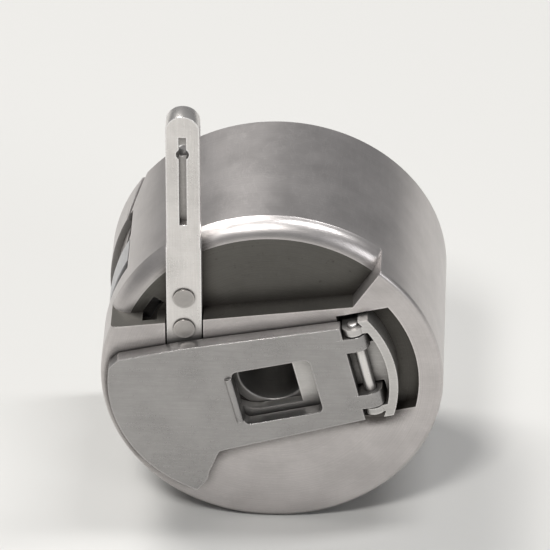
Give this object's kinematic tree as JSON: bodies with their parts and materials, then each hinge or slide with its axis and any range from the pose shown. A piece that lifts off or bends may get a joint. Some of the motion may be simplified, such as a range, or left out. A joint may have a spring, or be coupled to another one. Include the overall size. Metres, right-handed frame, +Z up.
{
  "type": "bobbin case",
  "caption": "Front-loading sewing machine bobbin case: steel cup with hollow stud, position finger, hinged latch with slide, leaf tension spring and wound bobbin.",
  "frame": {"origin": "on the case axis, in the plane of the open rim, at the mouth of the hollow stud that goes over the hook's centre pin", "axes": "+Y is the case axis, from the latch face to the open rim (the way the case goes onto the hook); -Y is the front with the latch; +Z is up along the position finger; +X is to the right seen from the front"},
  "size_m": [0.0227, 0.0152, 0.0318],
  "materials": {
    "case": "satin nickel plate",
    "bright_steel": "polished steel, lightly worn",
    "spring_steel": "tempered spring steel",
    "screw_steel": "turned steel",
    "bobbin_steel": "bright nickel plate",
    "thread": "wound polyester thread"
  },
  "bodies": {
    "case": {"case_body": "case", "stud_tube": "bright_steel", "position_finger": "bright_steel", "finger_rivet_lower": "case", "finger_rivet_upper": "case", "tension_spring": "spring_steel", "spring_set_screw": "screw_steel", "latch_stop_pin": "bright_steel", "latch_spring": "spring_steel"},
    "tension_adjuster": {"tension_screw": "screw_steel"},
    "slide": {"latch_slide": "bright_steel", "latch_hinge_pin": "bright_steel"},
    "lever": {"latch_lever": "bright_steel"},
    "bobbin": {"bobbin_front_flange": "bobbin_steel", "bobbin_rear_flange": "bobbin_steel", "bobbin_core": "bobbin_steel", "thread_winding": "thread"}
  },
  "joints": [
    {"name": "latch_slide_travel", "type": "slide", "parent": "case", "child": "slide", "axis": [0.9724, 0, 0.2334], "range_m": [0, 0.0009], "stiffness_N_per_m": 200, "springref_m": -0.0012, "deforming": ["latch_spring"]},
    {"name": "latch_lever_hinge", "type": "hinge", "parent": "slide", "child": "lever", "pos_m": [0.00613, -0.0142, 0.00147], "axis": [-0.2334, 0, 0.9724], "range_deg": [0, 80]},
    {"name": "tension_screw_turn", "type": "hinge", "parent": "case", "child": "tension_adjuster", "pos_m": [-0.01065, -0.0063, -0.00346], "axis": [-0.9511, 0, -0.309], "range_deg": [-180, 180]},
    {"name": "bobbin_spin", "type": "hinge", "parent": "case", "child": "bobbin", "pos_m": [0, -0.006, 0], "axis": [0, 1, 0], "continuous": true}
  ],
  "couplings": [
    {"joint": "latch_lever_hinge", "follows": "latch_slide_travel", "rad_per_m": 1551}
  ]
}
